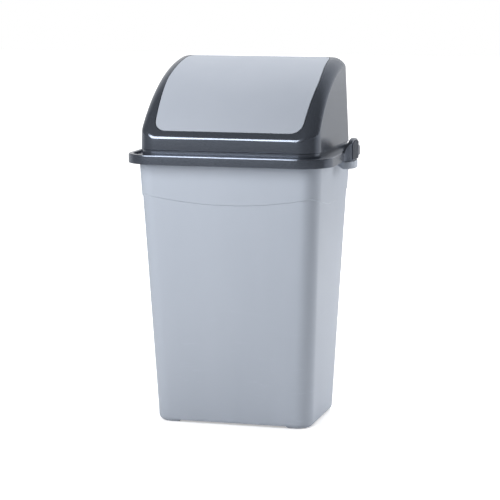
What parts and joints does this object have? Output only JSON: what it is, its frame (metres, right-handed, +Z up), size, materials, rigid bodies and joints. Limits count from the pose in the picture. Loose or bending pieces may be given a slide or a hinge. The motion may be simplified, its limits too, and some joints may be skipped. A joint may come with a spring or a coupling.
{
  "type": "swing-lid trash can",
  "caption": "Tall tapered kitchen bin with corner feet, side handles, a lift-off hooded lid and a curved flap that swings on stub axles.",
  "frame": {"origin": "middle of the footprint, on the floor", "axes": "+X to the right, -Y to the front where the flap is pushed in, +Z up"},
  "size_m": [0.406, 0.331, 0.668],
  "materials": {
    "body_plastic": "satin blue-grey moulded polypropylene",
    "hood_plastic": "metallic graphite moulded polypropylene",
    "flap_plastic": "satin pale blue-grey moulded polypropylene"
  },
  "bodies": {
    "bin": {"bin_body": "body_plastic"},
    "lid": {"lid_hood": "hood_plastic"},
    "flap": {"swing_flap": "flap_plastic"}
  },
  "joints": [
    {"name": "lid_lift", "type": "slide", "parent": "bin", "child": "lid", "axis": [0, 0, 1], "range_m": [0, 0.25]},
    {"name": "flap_swing", "type": "hinge", "parent": "lid", "child": "flap", "pos_m": [0, -0.024, 0.621], "axis": [1, 0, 0], "range_deg": [0, 65]}
  ]
}
